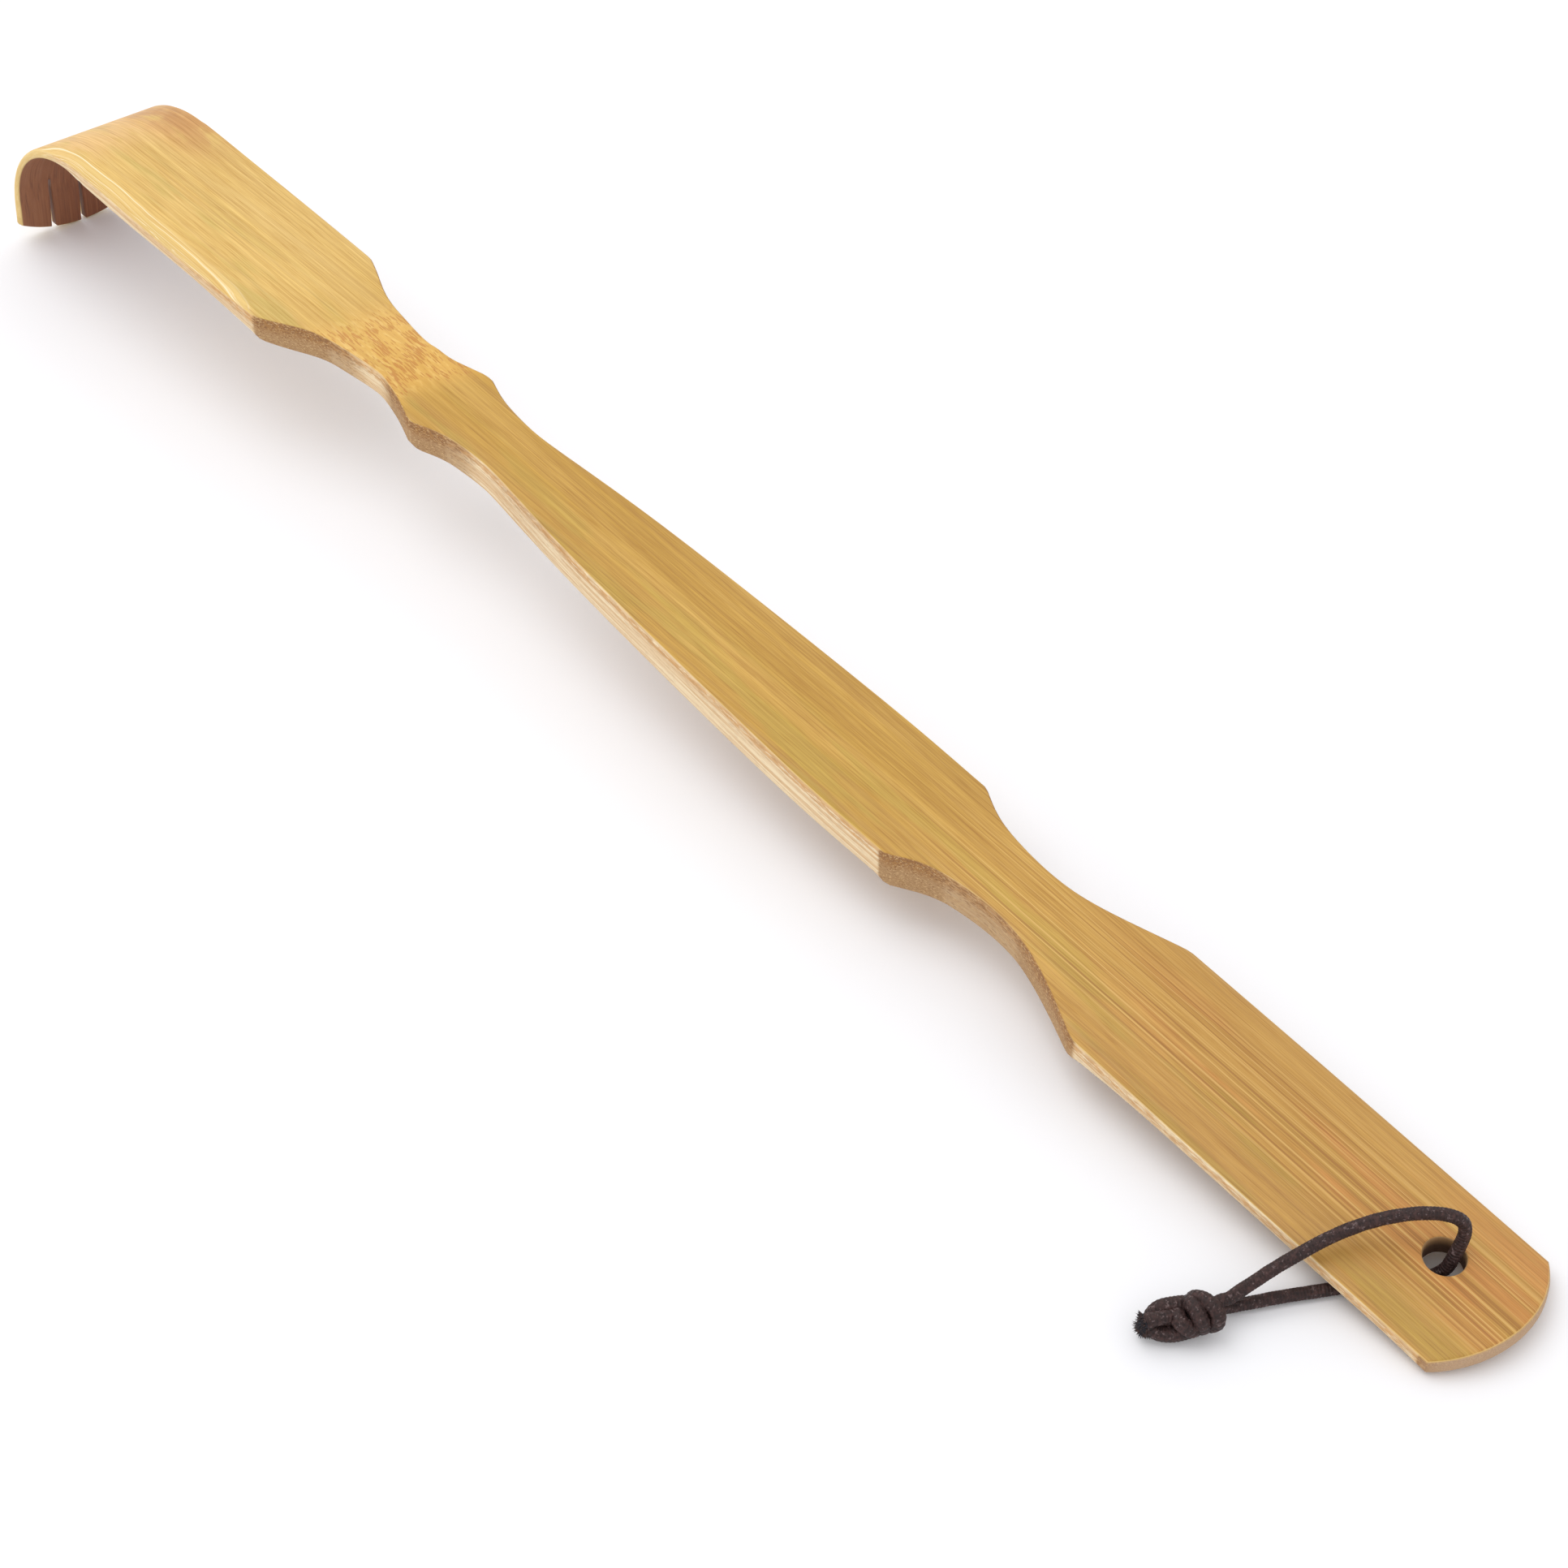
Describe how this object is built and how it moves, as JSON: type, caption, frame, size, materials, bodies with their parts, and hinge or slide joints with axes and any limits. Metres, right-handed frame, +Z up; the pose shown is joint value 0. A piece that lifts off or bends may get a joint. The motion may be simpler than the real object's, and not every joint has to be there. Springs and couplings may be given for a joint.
{
  "type": "back scratcher",
  "caption": "Back scratcher bent from one strip of bamboo, with a toothed hooked head, waisted shaft, flat handle and knotted cord loop for hanging.",
  "frame": {"origin": "on the table under the middle of the strip's box, with the middle teeth and the handle end touching the table", "axes": "+X along the strip from the teeth to the handle end, +Z up, away from the table and out of the strip's upper face, +Y across the strip, away from the side where the cord lies"},
  "size_m": [0.4512, 0.066, 0.0395],
  "materials": {
    "bamboo": "satin, sanded and lightly sealed",
    "cord": "waxed cotton, low sheen"
  },
  "bodies": {
    "root": {"bamboo_body": "bamboo", "cord_loop": "cord", "cord_knot": "cord", "cord_ends": "cord"}
  },
  "joints": []
}
